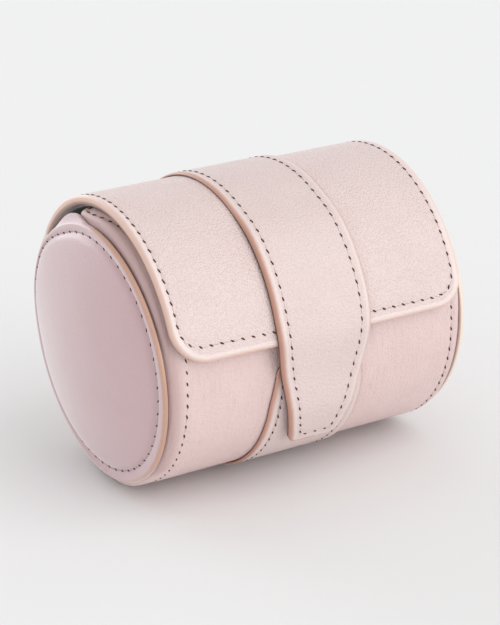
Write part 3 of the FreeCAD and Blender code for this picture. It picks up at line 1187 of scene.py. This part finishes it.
# Each disc's edge colour and the strength of the painted shade at its foot: a tan edge with strong shade
# on the left, a cream edge (painted highlight) with weak shade on the right
for side_name, side, edge_tone, under_edge_shade in (
    ("left", -1, disc_edge_tan, 1.0),
    ("right", 1, disc_edge_lit_cream, 0.3),
):
    cover = spin_disc(side_name + "_disc_leather", side, disc_profile)
    cover.data.materials.append(cover_leather(f"blush_leather_{side_name}_disc", edge_tone, under_edge_shade))
    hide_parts(*(f"{side_name}_disc_{layer}" for layer in ("cover", "padding", "board")))
    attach(cover, "base")
    facing = spin_disc(side_name + "_disc_suede", side, facing_profile)
    facing.data.materials.append(grey_suede)
    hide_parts(side_name + "_disc_lining")
    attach(facing, "base")
    ring = [(ring_lay(side), ring_path)]
    sew(side_name + "_disc_stitches", ring, lambda piece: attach(piece, "base"), ring_pitch, ring_size)

# Closure: a nickel-plated magnet between the tongue's layers and a thin steel plate behind the
# front leather. Both are out of sight and keep the shapes that they are machined to.
nickel_bright = (0.75, 0.74, 0.72, 1)
steel_grey = (0.52, 0.53, 0.55, 1)
nickel_roughness = 0.18
steel_roughness = 0.3
scratches_per_metre = 1800.0
scratch_share = 0.12


def plated(name, tone, roughness):
    """Plain plated metal with fine scratches."""
    material, tree, surface = new_material(name)
    spot = add_node(tree, "ShaderNodeTexCoord").outputs["Object"]
    scratched = math_of(tree, "MULTIPLY", noise_of(tree, spot, scratches_per_metre, 4.0), scratch_share)
    tree.links.new(math_of(tree, "ADD", roughness, scratched), surface.inputs["Roughness"])
    surface.inputs["Base Color"].default_value = tone
    surface.inputs["Metallic"].default_value = 1.0
    return material


for node, finish in (
    ("tongue_magnet", plated("magnet_nickel", nickel_bright, nickel_roughness)),
    ("keeper_plate", plated("plate_steel", steel_grey, steel_roughness)),
):
    shown = frame["nodes"][node]
    shown.data.materials.clear()
    shown.data.materials.append(finish)

# Watch cushion: a roll of soft foam in a sleeve of grey suede, with a round piece and a thin piping
# sewn into each end. The closed watch strap goes round it, and it lies loose between the discs.
cushion_axis = joint_spots["cushion_turn"]
cushion_half = -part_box("cushion_end_left")[0].x
cushion_radius = 27.0 * mm
swell_start = 0.94
swell_limit = 3.0 * mm
start_length_share = 0.97
cushion_rounding = 3 * mm
cover_pace = 4.5 * mm
air_pressure = 4
filling_frames = 20
piping_width = 2.2 * mm
piping_slope = (0.5, 0.85)
piping_segments = 96
end_corner = math.radians(60)
cushion_dark = (0.19, 0.19, 0.2, 1)
cushion_light = (0.28, 0.28, 0.3, 1)
cushion_suede = suede("grey_suede_cushion", cushion_dark, cushion_light)


def cushion_form():
    """The cushion's cover before it is filled: a round sleeve with rounded ends."""
    bm = bmesh.new()
    bmesh.ops.create_cone(
        bm,
        cap_ends=True,
        segments=64,
        radius1=cushion_radius * swell_start,
        radius2=cushion_radius * swell_start,
        depth=2 * cushion_half * start_length_share,
        matrix=Matrix.Translation(cushion_axis) @ Matrix.Rotation(math.pi / 2, 4, "Y"),
    )
    rims = [edge for edge in bm.edges if edge.calc_face_angle(0) > end_corner]
    bmesh.ops.bevel(
        bm, geom=rims, offset=cushion_rounding, segments=3, profile=0.5, affect="EDGES", material=-1
    )
    return finished("cushion_suede", bm)


def fill_with_air(piece, cap):
    """Swells a cover by cloth simulation, no point moving further than the cap."""
    bpy.context.view_layer.objects.active = piece
    remesh = piece.modifiers.new("even", "REMESH")
    remesh.mode = "VOXEL"
    remesh.voxel_size = cover_pace
    bpy.ops.object.modifier_apply(modifier="even")
    before = [point.co.copy() for point in piece.data.vertices]
    cloth = piece.modifiers.new("filled", "CLOTH")
    cloth.settings.use_pressure = True
    cloth.settings.uniform_pressure_force = air_pressure
    cloth.settings.effector_weights.gravity = 0
    for step in range(1, filling_frames + 1):
        bpy.context.scene.frame_set(step)
    bpy.ops.object.modifier_apply(modifier="filled")
    bpy.context.scene.frame_set(1)
    for point, start in zip(piece.data.vertices, before):
        move = point.co - start
        if move.length > cap:
            point.co = start + move.normalized() * cap
    soft = piece.modifiers.new("soft", "SUBSURF")
    soft.levels = 1
    soft.render_levels = 1
    piece.data.shade_smooth()


cushion = cushion_form()
fill_with_air(cushion, swell_limit)
cushion.data.materials.append(cushion_suede)
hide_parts("cushion_sleeve", "cushion_foam", "cushion_end_left", "cushion_end_right")
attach(cushion, "cushion")


def pipe_end(name, side):
    """A thin suede cord sewn into the seam between the sleeve and an end piece."""
    least, most = piping_slope
    corner = [point.co for point in cushion.data.vertices if least < side * point.normal.x < most]
    across = [math.hypot(spot.y - cushion_axis.y, spot.z - cushion_axis.z) for spot in corner]
    ring_x = sum(spot.x for spot in corner) / len(corner)
    ring_radius = sum(across) / len(across)
    bm = bmesh.new()
    start = Matrix.Translation((ring_x, cushion_axis.y + ring_radius, cushion_axis.z))
    bmesh.ops.create_circle(bm, segments=12, radius=piping_width / 2, matrix=start)
    spin_round(bm, cushion_axis, (1, 0, 0), piping_segments)
    bmesh.ops.recalc_face_normals(bm, faces=bm.faces)
    piping = finished(name, bm)
    piping.data.materials.append(cushion_suede)
    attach(piping, "cushion")


pipe_end("cushion_piping_left", -1)
pipe_end("cushion_piping_right", 1)

# Studio: a pale floor that runs out of view and throws light back up, soft light from above, from
# the front right and from behind, and a camera with the photograph's view.
floor_tone = (0.795, 0.795, 0.795, 1)
floor_bounce = (0.95, 0.95, 0.95, 1)
sky_strength = 0.84
key_aim = Vector((0.15, -0.24, 0.36))
key_strength = 0.68
rim_aim = Vector((-0.2, 0.97, 0.12))
rim_strength = 1.2
rim_tone = (0.92, 0.95, 1.0)
front_aim = Vector((0.45, -0.89, 0.04))
front_strength = 1.0
lamp_spread = math.radians(50)
floor_half = 4.0
view_lens = 129.46
view_place = (-0.33174, -0.52751, 0.29564)
view_angles = (67.88, 0, -32.28)

floor_mesh = bmesh.new()
bmesh.ops.create_grid(floor_mesh, x_segments=1, y_segments=1, size=floor_half)
floor = finished("floor", floor_mesh)
paper, paper_tree, paper_surface = new_material("pale_paper")
light_path = add_node(paper_tree, "ShaderNodeLightPath").outputs
seen = math_of(paper_tree, "MAXIMUM", light_path["Is Camera Ray"], light_path["Is Glossy Ray"])
seen = math_of(paper_tree, "MAXIMUM", seen, light_path["Is Transmission Ray"])
paper_tree.links.new(mixed(paper_tree, seen, floor_bounce, floor_tone), paper_surface.inputs["Base Color"])
paper_surface.inputs["Roughness"].default_value = 1.0
paper_surface.inputs["Specular IOR Level"].default_value = 0.0
floor.data.materials.append(paper)

world = bpy.data.worlds.new("studio")
bpy.context.scene.world = world
world.use_nodes = True
world.node_tree.nodes["Background"].inputs["Color"].default_value = (1, 1, 1, 1)
world.node_tree.nodes["Background"].inputs["Strength"].default_value = sky_strength


def soft_lamp(name, aim, strength, tone=(1, 1, 1)):
    """A broad even light that comes from one side."""
    lamp = bpy.data.lights.new(name, "SUN")
    lamp.energy = strength
    lamp.angle = lamp_spread
    lamp.color = tone
    stand = bpy.data.objects.new(name, lamp)
    stand.rotation_euler = aim.to_track_quat("Z", "Y").to_euler()
    bpy.context.scene.collection.objects.link(stand)


soft_lamp("key_light", key_aim, key_strength)
soft_lamp("rim_light", rim_aim, rim_strength, rim_tone)
soft_lamp("front_light", front_aim, front_strength)

camera_data = bpy.data.cameras.new("view")
camera_data.sensor_fit = "VERTICAL"
camera_data.sensor_height = 36.0
camera_data.lens = view_lens
camera = bpy.data.objects.new("view", camera_data)
camera.location = view_place
camera.rotation_euler = [math.radians(angle) for angle in view_angles]
bpy.context.scene.collection.objects.link(camera)
bpy.context.scene.camera = camera
bpy.context.scene.view_settings.view_transform = "Standard"

bpy.context.view_layer.update()
